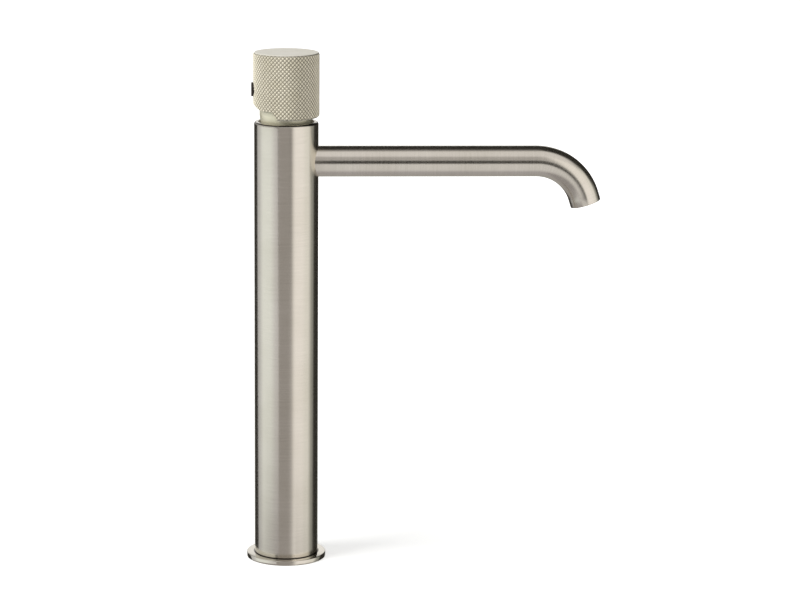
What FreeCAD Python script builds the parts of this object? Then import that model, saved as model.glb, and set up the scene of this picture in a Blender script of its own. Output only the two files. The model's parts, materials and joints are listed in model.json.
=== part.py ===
import FreeCAD, Part
import math
import os

Vector = FreeCAD.Vector

# Tall single-hole basin mixer with a knurled joystick knob. Millimetres.
# The origin is on the column's axis in the plane of the deck, +Z is up the column,
# and the spout reaches along +X.

# Column, base and rim
COLUMN_RADIUS = 20.0
COLUMN_BORE = 18.0
RIM_Z = 279.0
RIM_ROUND = 1.7
LIP_BORE = 17.2
LIP_HEIGHT = 10.0
FLANGE_RADIUS = 24.9
FLANGE_HEIGHT = 3.0
FLANGE_HOLE = 15.5
FLANGE_ROUND = 0.5
GASKET_INNER = 18.6
GASKET_OUTER = 22.6
GASKET_HEIGHT = 1.6

# Foot: two supply sockets and the hole for the fixing stud
FOOT_TOP = 21.0
HOT_SIDE = -1
SOCKET_OFFSET = 8.0
SOCKET_RADIUS = 6.2
SOCKET_HEIGHT = 16.0
SOCKET_THREAD = 4.5
SOCKET_THREAD_DEPTH = 11.0
STUD_OFFSET = -11.0
STUD_THREAD = 3.4
STUD_DEPTH = 14.0
RISER_RADIUS = 4.0
RISER_BORE = 3.2
RISER_SEAT = 3.0
RISER_SOCKET = 8.0
RISER_PASSAGE = 14.0
RISER_RING_RISE = 3.0
RISER_RING_WALL = 1.2
RISER_RING_HEIGHT = 1.8

# Spout
SPOUT_Z = 254.0
SPOUT_RADIUS = 9.7
SPOUT_BORE = 8.5
BEND_START = 155.4
BEND_RADIUS = 31.5
BEND_ANGLE = 72.6
SPOUT_TAIL = 5.0
SPOUT_LIP_ROUND = 0.5
SLEEVE_BORE = 6.9
SLEEVE_END = 36.0
NIPPLE_RADIUS = 6.7
NIPPLE_BORE = 4.6
NIPPLE_START = 13.2
NIPPLE_END = 33.0
NIPPLE_SEAL_SETBACKS = (9.6, 3.0)
NIPPLE_SEAL_WIDTH = 1.6
NIPPLE_SEAL_DEPTH = 1.0
GRUB_SCREW_X = 27.0
GRUB_SCREW_RADIUS = 2.0
GRUB_SCREW_BITE = 0.8
AERATOR_RECESS = 0.7
AERATOR_RADIUS = 8.4
AERATOR_LENGTH = 4.6
AERATOR_WALL = 1.2
AERATOR_KEY_SLOTS = 6
HONEYCOMB_SETBACK = 0.4
HONEYCOMB_DEPTH = 2.4
HONEYCOMB_PITCH = 2.1
SCREEN_HOLES = 8

# Valve body and cartridge
VALVE_RADIUS = 17.8
VALVE_BOTTOM = 228.0
VALVE_TOP = 268.6
SEAT_RADIUS = 12.65
SEAT_Z = 254.0
PASSAGE_RADIUS = 2.2
PASSAGE_DROP = 3.4
CARTRIDGE_RADIUS = 12.5
BASE_LEDGE = 2.0
PORT_SEAL_HEIGHT = 1.2
PORT_SEAL_WIDTH = 0.9
CHAMBER_RADIUS = 11.5
BASE_TOP = 261.2
FIXED_DISC_TOP = 264.6
MOVING_DISC_TOP = 267.8
CARRIER_TOP = 273.8
TURRET_FLANGE_BOTTOM = 274.4
TURRET_FLANGE_TOP = 276.2
HOUSING_ROOF = 276.5
HOUSING_TOP = 278.5
TURRET_RADIUS = 9.0
TURRET_TOP = 290.0
INLET_PORT = (4.6, 1.7)
INLET_PORT_X = 3.2
OUTLET_PORT_X = -2.5
OUTLET_PORT_RADIUS = 2.3
DISC_RADIUS = 8.8
DISC_OFFSET = -2.3
DISC_POCKET_HEIGHT = 1.8
DISC_POCKET_ROUND = 2.0
LUG_HALF_WIDTH = 1.2
LUG_INNER = 7.6
LUG_DROP = 1.2
RAIL_OFFSET = 5.6
RAIL_HALF_WIDTH = 0.6
RAIL_DROP = 1.6
RAIL_HALF_LENGTH = 6.0
NUT_BOTTOM = 270.0
NUT_SLOTS = 4
STOP_CLEARANCE = 2.1
TURRET_RING_DEPTH = 0.8

# Knob, its lever and the dome that it tilts over
PIVOT_Z = 284.0
ARM_LENGTH = 12.0
BALL_RADIUS = 3.0
PIN_RADIUS = 1.5
PIN_REACH = 8.2
STEM_SIDE = 7.0
STEM_TOP = 314.0
DOME_RADIUS = 16.6
DOME_INNER = 15.3
DOME_MOUTH = 12.5
DOME_FOOT = 276.3
DOME_SKIRT_TOP = 279.3
KNOB_RADIUS = 20.6
KNURL_DEPTH = 0.45
KNOB_EDGE = 0.4
KNOB_BOTTOM = 282.0
KNOB_TOP = 322.0
KNOB_CAVITY = 17.4
KNOB_SHOULDER = 303.5
KNOB_BORE = 15.0
KNOB_CROWN = 318.8
DIAMONDS_AROUND = 52
DIAMOND_ROWS = 30
NOTCH_FRONT = -4.9
NOTCH_CORNER = -9.3
NOTCH_BACK = -16.6
NOTCH_HEIGHT = 5.25
NOTCH_RISE = 4.55
NOTCH_ROUND = 1.5
HUB_RADIUS = 6.8
HUB_RISE = 11.0
INDEX_Z = 298.9
INDEX_RADIUS = 4.35
INDEX_PROUD = 1.1
INDEX_DEPTH = 1.2
INDEX_SHOULDER = 1.3

# Clearance of pieces that slip into each other, and of those that turn or slide
SLIP = 0.1
RUNNING = 0.08


def on_axis(radius, height):
    return Vector(radius, 0, height)


def turned(outline):
    """Solid of revolution about Z from a closed outline of (radius, height) points."""
    points = [on_axis(radius, height) for radius, height in outline]
    wire = Part.makePolygon(points + points[:1])
    return Part.Face(wire).revolve(Vector(0, 0, 0), Vector(0, 0, 1), 360)


def turned_wire(edges):
    """Solid of revolution about Z from a closed outline of lines and arcs."""
    return Part.Face(Part.Wire(edges)).revolve(Vector(0, 0, 0), Vector(0, 0, 1), 360)


def ring(outer, inner, bottom, top):
    return turned([(inner, bottom), (outer, bottom), (outer, top), (inner, top)])


def rod(radius, start, end):
    axis = end.sub(start)
    return Part.makeCylinder(radius, axis.Length, start, axis)


def block(low, high):
    size = Vector(*high).sub(Vector(*low))
    return Part.makeBox(size.x, size.y, size.z, Vector(*low))


def edges_near(shape, test):
    return [edge for edge in shape.Edges if test(edge.BoundBox)]


def round_edges_at(shape, height, radius_of_edge, round_radius):
    """Round the circular edges that lie at one height with one radius about Z."""
    def matches(box):
        flat = box.ZLength < 0.01 and abs(box.ZMin - height) < 0.01
        return flat and abs(box.XMax - radius_of_edge) < 0.05
    return shape.makeFillet(round_radius, edges_near(shape, matches))


# ---------------------------------------------------------------- base

def base_flange():
    disc = ring(FLANGE_RADIUS, FLANGE_HOLE, 0, FLANGE_HEIGHT)
    disc = round_edges_at(disc, FLANGE_HEIGHT, FLANGE_RADIUS, FLANGE_ROUND)
    return disc.cut(ring(GASKET_OUTER, GASKET_INNER, 0, GASKET_HEIGHT))


def base_gasket():
    return ring(GASKET_OUTER, GASKET_INNER, 0, GASKET_HEIGHT)


def foot_insert():
    body = Part.makeCylinder(COLUMN_BORE - SLIP, FOOT_TOP - FLANGE_HEIGHT, Vector(0, 0, FLANGE_HEIGHT))
    for side in (-1, 1):
        centre = Vector(0, side * SOCKET_OFFSET, FLANGE_HEIGHT)
        body = body.cut(Part.makeCylinder(SOCKET_RADIUS, SOCKET_HEIGHT, centre))
        body = body.cut(Part.makeCylinder(RISER_RADIUS + SLIP, FOOT_TOP, centre))
    return body.cut(Part.makeCylinder(STUD_THREAD, STUD_DEPTH, Vector(STUD_OFFSET, 0, FLANGE_HEIGHT)))


def inlet_socket(side):
    """Threaded socket for one supply hose, with a seat for the riser in its top."""
    centre = Vector(0, side * SOCKET_OFFSET, FLANGE_HEIGHT)
    seat = centre + Vector(0, 0, SOCKET_HEIGHT - RISER_SEAT)
    body = Part.makeCylinder(SOCKET_RADIUS, SOCKET_HEIGHT, centre)
    body = body.cut(Part.makeCylinder(SOCKET_THREAD, SOCKET_THREAD_DEPTH, centre))
    body = body.cut(Part.makeCylinder(RISER_BORE, SOCKET_HEIGHT, centre))
    return body.cut(Part.makeCylinder(RISER_RADIUS, RISER_SEAT, seat))


def riser(side):
    """Copper pipe from an inlet socket up to the valve body."""
    bottom = FLANGE_HEIGHT + SOCKET_HEIGHT - RISER_SEAT
    top = VALVE_BOTTOM + RISER_SOCKET
    start = Vector(0, side * SOCKET_OFFSET, bottom)
    end = Vector(0, side * SOCKET_OFFSET, top)
    return rod(RISER_RADIUS, start, end).cut(rod(RISER_BORE, start, end))


def riser_groove(side):
    """Room round a riser for its sealing ring, in the valve body's socket."""
    centre = Vector(0, side * SOCKET_OFFSET, VALVE_BOTTOM + RISER_RING_RISE)
    return Part.makeCylinder(RISER_RADIUS + RISER_RING_WALL, RISER_RING_HEIGHT, centre)


def riser_seals():
    return Part.makeCompound([riser_groove(side).cut(riser_core(side)) for side in (-1, 1)])


def riser_core(side):
    bottom, top = VALVE_BOTTOM, VALVE_BOTTOM + RISER_SOCKET
    return rod(RISER_RADIUS, Vector(0, side * SOCKET_OFFSET, bottom), Vector(0, side * SOCKET_OFFSET, top))


# ---------------------------------------------------------------- column and valve body

def column_body():
    lip_bottom = RIM_Z - LIP_HEIGHT
    shell = turned([
        (COLUMN_BORE, FLANGE_HEIGHT), (COLUMN_RADIUS, FLANGE_HEIGHT), (COLUMN_RADIUS, RIM_Z),
        (LIP_BORE, RIM_Z), (LIP_BORE, lip_bottom), (COLUMN_BORE, lip_bottom)])
    shell = round_edges_at(shell, RIM_Z, COLUMN_RADIUS, RIM_ROUND)
    nipple_hole = rod(NIPPLE_RADIUS + SLIP, on_axis(NIPPLE_START, SPOUT_Z), on_axis(NIPPLE_END, SPOUT_Z))
    return shell.cut(nipple_hole)


def valve_body():
    """Brass insert in the column's head: riser sockets below, cartridge seat above."""
    body = Part.makeCylinder(VALVE_RADIUS, VALVE_TOP - VALVE_BOTTOM, Vector(0, 0, VALVE_BOTTOM))
    body = body.cut(Part.makeCylinder(SEAT_RADIUS, VALVE_TOP, Vector(0, 0, SEAT_Z)))
    for side in (-1, 1):
        socket = Vector(0, side * SOCKET_OFFSET, VALVE_BOTTOM)
        body = body.cut(riser_core(side)).cut(riser_groove(side))
        body = body.cut(Part.makeCylinder(RISER_BORE, RISER_PASSAGE, socket))
        port = Vector(INLET_PORT_X, side * INLET_PORT[0], VALVE_BOTTOM + 10.0)
        body = body.cut(Part.makeCylinder(INLET_PORT[1], SEAT_Z, port))
    elbow = on_axis(OUTLET_PORT_X, SPOUT_Z - PASSAGE_DROP)
    body = body.cut(rod(PASSAGE_RADIUS, elbow, on_axis(OUTLET_PORT_X, SEAT_Z)))
    body = body.cut(rod(PASSAGE_RADIUS, elbow, on_axis(NIPPLE_START, elbow.z)))
    return body.cut(rod(NIPPLE_RADIUS, on_axis(NIPPLE_START, SPOUT_Z), on_axis(VALVE_RADIUS, SPOUT_Z)))


# ---------------------------------------------------------------- spout

def bend_centre():
    return Vector(BEND_START, 0, SPOUT_Z - BEND_RADIUS)


def spout_direction():
    angle = math.radians(BEND_ANGLE)
    return Vector(math.cos(angle), 0, -math.sin(angle))


def bend_end():
    angle = math.radians(BEND_ANGLE)
    return bend_centre() + Vector(BEND_RADIUS * math.sin(angle), 0, BEND_RADIUS * math.cos(angle))


def spout_mouth():
    return bend_end() + spout_direction() * SPOUT_TAIL


def bent_rod(radius, extra):
    """The spout's run, bend and tail as one solid rod, made longer at its mouth by extra."""
    run = rod(radius, on_axis(COLUMN_RADIUS - 5, SPOUT_Z), on_axis(BEND_START, SPOUT_Z))
    circle = Part.makeCircle(radius, on_axis(BEND_START, SPOUT_Z), Vector(1, 0, 0))
    section = Part.Face(Part.Wire(circle))
    bend = section.revolve(bend_centre(), Vector(0, 1, 0), BEND_ANGLE)
    tail = rod(radius, bend_end(), spout_mouth() + spout_direction() * extra)
    return run.fuse([bend, tail]).removeSplitter()


def spout_tube():
    outer = bent_rod(SPOUT_RADIUS, 0)
    rim = edges_near(outer, lambda box: box.ZMax < bend_end().z and box.YLength > 1.9 * SPOUT_RADIUS)
    mouth = [edge for edge in rim if (edge.CenterOfMass - spout_mouth()).Length < 0.1]
    outer = outer.makeFillet(SPOUT_LIP_ROUND, mouth)
    tube = outer.cut(bent_rod(SPOUT_BORE, 2))
    column = Part.makeCylinder(COLUMN_RADIUS, RIM_Z)
    return tube.cut(column).cut(spout_screw_hole())


def spout_screw_line():
    top = on_axis(GRUB_SCREW_X, SPOUT_Z - NIPPLE_RADIUS + GRUB_SCREW_BITE)
    return top, on_axis(GRUB_SCREW_X, SPOUT_Z - SPOUT_RADIUS - 1)


def spout_screw_hole():
    top, bottom = spout_screw_line()
    return rod(GRUB_SCREW_RADIUS, top, bottom)


def spout_sleeve():
    start = on_axis(COLUMN_RADIUS - 5, SPOUT_Z)
    end = on_axis(SLEEVE_END, SPOUT_Z)
    sleeve = rod(SPOUT_BORE, start, end).cut(rod(SLEEVE_BORE, start, end))
    return sleeve.cut(Part.makeCylinder(COLUMN_RADIUS, RIM_Z)).cut(spout_screw_hole())


def seal_stations():
    return [NIPPLE_END - setback for setback in NIPPLE_SEAL_SETBACKS]


def nipple_seal(station):
    start, end = on_axis(station, SPOUT_Z), on_axis(station + NIPPLE_SEAL_WIDTH, SPOUT_Z)
    return rod(SLEEVE_BORE, start, end).cut(rod(NIPPLE_RADIUS - NIPPLE_SEAL_DEPTH, start, end))


def spout_nipple():
    """Threaded stub that carries the spout, with two seal grooves and a groove for the screw."""
    start, end = on_axis(NIPPLE_START, SPOUT_Z), on_axis(NIPPLE_END, SPOUT_Z)
    nipple = rod(NIPPLE_RADIUS, start, end).cut(rod(NIPPLE_BORE, start, end))
    for station in seal_stations():
        nipple = nipple.cut(nipple_seal(station))
    return nipple.cut(spout_screw_hole())


def spout_seals():
    return Part.makeCompound([nipple_seal(station) for station in seal_stations()])


def spout_grub_screw():
    top = spout_screw_line()[0]
    end = on_axis(GRUB_SCREW_X, SPOUT_Z - SPOUT_RADIUS + 0.6)
    screw = rod(GRUB_SCREW_RADIUS - SLIP, top, end)
    return screw.cut(hex_key(end, Vector(0, 0, 1), 1.0, 1.6))


def hex_key(mouth, inward, radius, depth):
    """Hexagonal socket from a screw's face inwards."""
    side = Vector(0, 1, 0)
    other = inward.cross(side)
    corners = []
    for corner in range(6):
        angle = math.radians(60 * corner)
        corners.append(mouth + side * (radius * math.cos(angle)) + other * (radius * math.sin(angle)))
    face = Part.Face(Part.makePolygon(corners + corners[:1]))
    return face.extrude(inward * depth)


def at_mouth(shape):
    """Carry a shape modelled along -Z below the origin to the spout's mouth."""
    turn = FreeCAD.Rotation(Vector(0, 0, -1), spout_direction())
    shape.Placement = FreeCAD.Placement(spout_mouth(), turn).multiply(shape.Placement)
    return shape


def aerator_housing():
    bottom = AERATOR_RECESS
    top = AERATOR_RECESS + AERATOR_LENGTH
    inner = AERATOR_RADIUS - AERATOR_WALL
    cup = ring(AERATOR_RADIUS, inner, bottom, top)
    cup = cup.fuse(ring(inner, inner - AERATOR_WALL, top - 0.8, top)).removeSplitter()
    for slot in range(AERATOR_KEY_SLOTS):
        key_slot = block((AERATOR_RADIUS - 0.7, -0.8, bottom), (AERATOR_RADIUS + 1, 0.8, bottom + 1.4))
        key_slot.rotate(Vector(0, 0, 0), Vector(0, 0, 1), slot * 360 / AERATOR_KEY_SLOTS)
        cup = cup.cut(key_slot)
    return at_mouth(cup)


def honeycomb_cell(x, y, bottom, top, radius):
    points = []
    for corner in range(6):
        angle = math.radians(60 * corner + 30)
        points.append(Vector(x + radius * math.cos(angle), y + radius * math.sin(angle), bottom))
    return Part.Face(Part.makePolygon(points + points[:1])).extrude(Vector(0, 0, top - bottom))


def aerator_insert():
    """Honeycomb jet former that fills the housing's mouth."""
    radius = AERATOR_RADIUS - AERATOR_WALL
    bottom = AERATOR_RECESS + HONEYCOMB_SETBACK
    top = bottom + HONEYCOMB_DEPTH
    disc = Part.makeCylinder(radius, HONEYCOMB_DEPTH, Vector(0, 0, bottom))
    cells = []
    for row in range(-3, 4):
        for column in range(-3, 4):
            x = HONEYCOMB_PITCH * (column + row / 2)
            y = HONEYCOMB_PITCH * row * math.sin(math.radians(60))
            if math.hypot(x, y) < radius - HONEYCOMB_PITCH / 2 + SLIP:
                cells.append(honeycomb_cell(x, y, bottom, top, HONEYCOMB_PITCH / 2))
    return at_mouth(disc.cut(Part.makeCompound(cells)))


def aerator_screen():
    """Perforated disc above the jet former that breaks the stream."""
    bottom = AERATOR_RECESS + HONEYCOMB_SETBACK + HONEYCOMB_DEPTH
    thickness, circle, hole = 1.0, 4.6, 0.7
    disc = Part.makeCylinder(AERATOR_RADIUS - AERATOR_WALL, thickness, Vector(0, 0, bottom))
    holes = []
    for place in range(SCREEN_HOLES):
        angle = 2 * math.pi * place / SCREEN_HOLES
        centre = Vector(circle * math.cos(angle), circle * math.sin(angle), bottom)
        holes.append(Part.makeCylinder(hole, thickness, centre))
    return at_mouth(disc.cut(Part.makeCompound(holes)))


def aerator_seal():
    bottom = AERATOR_RECESS + AERATOR_LENGTH
    return at_mouth(ring(AERATOR_RADIUS, AERATOR_RADIUS - 2.0, bottom, bottom + 0.8))


# ---------------------------------------------------------------- cartridge

def port_holes(bottom, height, inlet_radius, outlet_radius):
    """The two inlet ports and the outlet port as plugs to cut away."""
    plugs = []
    for side in (-1, 1):
        centre = Vector(INLET_PORT_X, side * INLET_PORT[0], bottom)
        plugs.append(Part.makeCylinder(inlet_radius, height, centre))
    plugs.append(Part.makeCylinder(outlet_radius, height, on_axis(OUTLET_PORT_X, bottom)))
    return Part.makeCompound(plugs)


def cartridge_base():
    body = turned([
        (0, SEAT_Z), (CARTRIDGE_RADIUS, SEAT_Z), (CARTRIDGE_RADIUS, SEAT_Z + BASE_LEDGE),
        (CHAMBER_RADIUS, SEAT_Z + BASE_LEDGE), (CHAMBER_RADIUS, BASE_TOP), (0, BASE_TOP)])
    body = body.cut(port_holes(SEAT_Z, BASE_TOP - SEAT_Z, INLET_PORT[1], OUTLET_PORT_RADIUS))
    return body.cut(port_grooves())


def port_grooves():
    """Room round each port's mouth for its seal, at the seat."""
    inlet, outlet = INLET_PORT[1] + PORT_SEAL_WIDTH, OUTLET_PORT_RADIUS + PORT_SEAL_WIDTH
    return port_holes(SEAT_Z, PORT_SEAL_HEIGHT, inlet, outlet)


def cartridge_seals():
    return port_grooves().cut(port_holes(SEAT_Z, PORT_SEAL_HEIGHT, INLET_PORT[1], OUTLET_PORT_RADIUS))


def fixed_disc():
    disc = Part.makeCylinder(CHAMBER_RADIUS - 0.2, FIXED_DISC_TOP - BASE_TOP, Vector(0, 0, BASE_TOP))
    return disc.cut(port_holes(BASE_TOP, FIXED_DISC_TOP, INLET_PORT[1], OUTLET_PORT_RADIUS))


def moving_disc():
    """Ceramic disc whose pocket joins the inlets to the outlet as it slides."""
    height = MOVING_DISC_TOP - FIXED_DISC_TOP
    disc = Part.makeCylinder(DISC_RADIUS, height, on_axis(DISC_OFFSET, FIXED_DISC_TOP))
    back, front, half_width = DISC_OFFSET - 4.7, DISC_OFFSET + 2.8, INLET_PORT[0] + INLET_PORT[1]
    pocket = block((back, -half_width, FIXED_DISC_TOP),
                   (front, half_width, FIXED_DISC_TOP + DISC_POCKET_HEIGHT))
    corners = edges_near(pocket, lambda box: box.ZLength > 1)
    disc = disc.cut(pocket.makeFillet(DISC_POCKET_ROUND, corners))
    return disc.cut(carrier_lugs(SLIP))


def carrier_lugs(clearance):
    """The two lugs by which the carrier drives the disc."""
    lugs = []
    for side in (-1, 1):
        half = LUG_HALF_WIDTH + clearance
        lug = block((DISC_OFFSET - half, LUG_INNER - clearance, MOVING_DISC_TOP - LUG_DROP - clearance),
                    (DISC_OFFSET + half, DISC_RADIUS + 0.7, MOVING_DISC_TOP + 1))
        lug.rotate(on_axis(DISC_OFFSET, 0), Vector(0, 0, 1), 90 - side * 90)
        lugs.append(lug)
    return Part.makeCompound(lugs)


def guide_rails(half_width, height):
    """The turret's two rails, which keep the carrier sliding along its own X."""
    rails = []
    for side in (-1, 1):
        low = (-RAIL_HALF_LENGTH, side * RAIL_OFFSET - half_width, TURRET_FLANGE_BOTTOM - height)
        high = (RAIL_HALF_LENGTH, side * RAIL_OFFSET + half_width, TURRET_FLANGE_BOTTOM)
        rails.append(block(low, high))
    return rails


def disc_carrier():
    """Slide that the lever's ball pushes, guided by the turret's rails."""
    radius, height = DISC_RADIUS - 2 * SLIP, CARRIER_TOP - MOVING_DISC_TOP
    rim = Part.makeCylinder(radius, height + LUG_DROP, on_axis(DISC_OFFSET, MOVING_DISC_TOP - LUG_DROP))
    body = Part.makeCylinder(radius, height, on_axis(DISC_OFFSET, MOVING_DISC_TOP))
    body = body.fuse(carrier_lugs(0).common(rim)).removeSplitter()
    body = body.cut(Part.makeCylinder(BALL_RADIUS + 2 * SLIP, height, on_axis(0, MOVING_DISC_TOP + 0.6)))
    groove = RAIL_HALF_WIDTH + 2 * SLIP
    for side in (-1, 1):
        low = (-2 * DISC_RADIUS, side * RAIL_OFFSET - groove, CARRIER_TOP - 1.4)
        high = (2 * DISC_RADIUS, side * RAIL_OFFSET + groove, CARRIER_TOP + 1)
        body = body.cut(block(low, high))
    return body


def cartridge_housing():
    return turned([
        (CHAMBER_RADIUS, SEAT_Z + BASE_LEDGE), (CARTRIDGE_RADIUS, SEAT_Z + BASE_LEDGE),
        (CARTRIDGE_RADIUS, HOUSING_TOP), (TURRET_RADIUS + RUNNING, HOUSING_TOP),
        (TURRET_RADIUS + RUNNING, HOUSING_ROOF), (CHAMBER_RADIUS, HOUSING_ROOF)])


def cartridge_nut():
    """Ring nut that clamps the cartridge, with a collar and four slots for its wrench."""
    inner, outer, step = CARTRIDGE_RADIUS + SLIP, LIP_BORE - SLIP, DOME_FOOT - 0.3
    collar_outer, collar_inner, collar_top = DOME_RADIUS - 2.3, TURRET_RADIUS + 1.9, HOUSING_TOP + 2
    nut = turned([
        (inner, NUT_BOTTOM), (outer, NUT_BOTTOM), (outer, step), (collar_outer, step),
        (collar_outer, collar_top), (collar_inner, collar_top), (collar_inner, HOUSING_TOP),
        (inner, HOUSING_TOP)])
    for slot in range(NUT_SLOTS):
        cutter = block((collar_inner + 1, -1.5, HOUSING_TOP + 0.5), (DOME_RADIUS, 1.5, collar_top + 1))
        cutter.rotate(Vector(0, 0, 0), Vector(0, 0, 1), 45 + slot * 360 / NUT_SLOTS)
        nut = nut.cut(cutter)
    return nut


def sector(outer, inner, bottom, top, half_angle):
    """Part of a ring, centred on +X."""
    outline = [(inner, bottom), (outer, bottom), (outer, top), (inner, top)]
    points = [on_axis(radius, height) for radius, height in outline]
    face = Part.Face(Part.makePolygon(points + points[:1]))
    face.rotate(Vector(0, 0, 0), Vector(0, 0, 1), -half_angle)
    return face.revolve(Vector(0, 0, 0), Vector(0, 0, 1), 2 * half_angle)


def temperature_stop():
    """Ring around the turret whose recess lets the turret's lug turn 50 degrees each way."""
    bottom = HOUSING_TOP + STOP_CLEARANCE
    top = bottom + 2.0
    body = ring(13.4, TURRET_RADIUS + 0.3, bottom, top)
    return body.cut(sector(TURRET_RADIUS + 2.1, TURRET_RADIUS - 1, bottom, top, 61))


def turret():
    """Rotor that carries the lever's pin and turns the discs for the temperature."""
    flange_base, neck_base = on_axis(0, TURRET_FLANGE_BOTTOM), on_axis(0, TURRET_FLANGE_TOP)
    flange = rod(CHAMBER_RADIUS - 2 * SLIP, flange_base, neck_base)
    neck = rod(TURRET_RADIUS, neck_base, on_axis(0, TURRET_TOP))
    stop_lug = sector(TURRET_RADIUS + 1.6, TURRET_RADIUS - 1, HOUSING_TOP + 2.3, HOUSING_TOP + 3.9, 9)
    body = flange.fuse([neck, stop_lug] + guide_rails(RAIL_HALF_WIDTH, RAIL_DROP)).removeSplitter()
    gap = STEM_SIDE / 2 + 2 * SLIP
    fork = block((-COLUMN_RADIUS, -gap, PIVOT_Z - 5), (COLUMN_RADIUS, gap, TURRET_TOP + 1))
    arm_slot = block((-3.1, -2.8, TURRET_FLANGE_BOTTOM - 2), (7.9, 2.8, PIVOT_Z))
    body = body.cut(fork).cut(arm_slot).cut(turret_ring(TURRET_RADIUS + 1))
    return body.cut(across_pivot(PIN_RADIUS, COLUMN_RADIUS))


def turret_ring(outer):
    """Sealing ring round the turret, or with a larger outer radius the groove that it sits in."""
    return ring(outer, TURRET_RADIUS - TURRET_RING_DEPTH, HOUSING_ROOF + 0.5, HOUSING_ROOF + 1.5)


def turret_seal():
    return turret_ring(TURRET_RADIUS)


def across_pivot(radius, reach):
    """Rod along the tilt axis, reaching equally far to both sides."""
    return rod(radius, Vector(0, -reach, PIVOT_Z), Vector(0, reach, PIVOT_Z))


def pivot_pin():
    return across_pivot(PIN_RADIUS, PIN_REACH)


def lever():
    """Stem that the knob sits on, pivoted in the turret, with a ball that pushes the carrier."""
    half = STEM_SIDE / 2
    hub = across_pivot(4.4, half)
    stem = block((-half, -half, PIVOT_Z), (half, half, STEM_TOP))
    stem = stem.makeChamfer(0.8, edges_near(stem, lambda box: box.ZMin > STEM_TOP - 0.1))
    arm = rod(2.3, on_axis(0, PIVOT_Z - ARM_LENGTH), on_axis(0, PIVOT_Z))
    ball = Part.makeSphere(BALL_RADIUS, on_axis(0, PIVOT_Z - ARM_LENGTH))
    body = hub.fuse([stem, arm, ball]).removeSplitter()
    return body.cut(across_pivot(PIN_RADIUS + 0.06, STEM_SIDE))


def sphere_height(sphere_radius, radius):
    return math.sqrt(sphere_radius ** 2 - radius ** 2)


def dome_arc(sphere_radius, start, end):
    """Arc of the dome's section between two points at one distance from the pivot."""
    middle = on_axis(sphere_radius, PIVOT_Z)
    return Part.Arc(start, middle, end).toShape()


def dome_cover():
    """Smooth dome about the lever's pivot, which the knob's skirt tilts over."""
    drop = PIVOT_Z - DOME_SKIRT_TOP
    outer_foot = on_axis(sphere_height(DOME_RADIUS, drop), DOME_SKIRT_TOP)
    inner_foot = on_axis(sphere_height(DOME_INNER, drop), DOME_SKIRT_TOP)
    outer_mouth = on_axis(DOME_MOUTH, PIVOT_Z + sphere_height(DOME_RADIUS, DOME_MOUTH))
    inner_mouth = on_axis(DOME_MOUTH, PIVOT_Z + sphere_height(DOME_INNER, DOME_MOUTH))
    outer_base = on_axis(outer_foot.x, DOME_FOOT)
    inner_base = on_axis(inner_foot.x, DOME_FOOT)
    return turned_wire([
        Part.makeLine(inner_base, outer_base), Part.makeLine(outer_base, outer_foot),
        dome_arc(DOME_RADIUS, outer_foot, outer_mouth), Part.makeLine(outer_mouth, inner_mouth),
        dome_arc(DOME_INNER, inner_mouth, inner_foot), Part.makeLine(inner_foot, inner_base)])


# ---------------------------------------------------------------- knob

def knurl_point(step, radius, height):
    angle = math.pi * step / DIAMONDS_AROUND
    return Vector(radius * math.cos(angle), radius * math.sin(angle), height)


def knurl_ring(row, height):
    """One ring of the knurl: valley crossings and diamond peaks in turn, plain at both ends."""
    plain = row in (0, DIAMOND_ROWS)
    points = []
    for step in range(2 * DIAMONDS_AROUND):
        peak = (step + row) % 2 == 1 and not plain
        radius = KNOB_RADIUS if peak else KNOB_RADIUS - KNURL_DEPTH
        points.append(knurl_point(step, radius, height))
    return points


def plain_ring(radius, height):
    return [knurl_point(step, radius, height) for step in range(2 * DIAMONDS_AROUND)]


def polygon_face(points):
    return Part.Face(Part.makePolygon(points + points[:1]))


def knurled_blank():
    """Closed blank of the knob: beveled ends and a skin of four-sided pyramids between them."""
    bottom = KNOB_BOTTOM + KNOB_EDGE
    row_height = (KNOB_TOP - KNOB_EDGE - bottom) / DIAMOND_ROWS
    edge_radius = KNOB_RADIUS - KNOB_EDGE
    rings = [knurl_ring(row, bottom + row * row_height) for row in range(DIAMOND_ROWS + 1)]
    lower, upper = plain_ring(edge_radius, KNOB_BOTTOM), plain_ring(edge_radius, KNOB_TOP)
    faces = [polygon_face(lower), polygon_face(upper)]
    count = 2 * DIAMONDS_AROUND
    for step in range(count):
        after = (step + 1) % count
        faces.append(polygon_face([lower[step], lower[after], rings[0][after], rings[0][step]]))
        faces.append(polygon_face([rings[-1][step], rings[-1][after], upper[after], upper[step]]))
        for row in range(DIAMOND_ROWS):
            a, b = rings[row][step], rings[row][after]
            c, d = rings[row + 1][after], rings[row + 1][step]
            halves = ((a, b, c), (a, c, d)) if (step + row) % 2 == 0 else ((a, b, d), (b, c, d))
            faces += [polygon_face(list(half)) for half in halves]
    shell = Part.makeShell(faces)
    shell.sewShape()
    return Part.makeSolid(shell)


def notch():
    """Relief in the knob's lower rear edge that lets it tilt back over the column's rim."""
    outside, half_width = -23, 25
    bottom, top = KNOB_BOTTOM - 1, KNOB_BOTTOM + NOTCH_HEIGHT
    outline = [(outside, bottom), (NOTCH_FRONT, bottom), (NOTCH_CORNER, top), (NOTCH_BACK, top),
               (outside, top + NOTCH_RISE)]
    points = [Vector(x, -half_width, z) for x, z in outline]
    prism = Part.Face(Part.makePolygon(points + points[:1])).extrude(Vector(0, 2 * half_width, 0))
    corner = edges_near(prism, lambda box: box.YLength > half_width and abs(box.XMax - NOTCH_CORNER) < 0.1)
    return prism.makeFillet(NOTCH_ROUND, corner)


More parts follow.
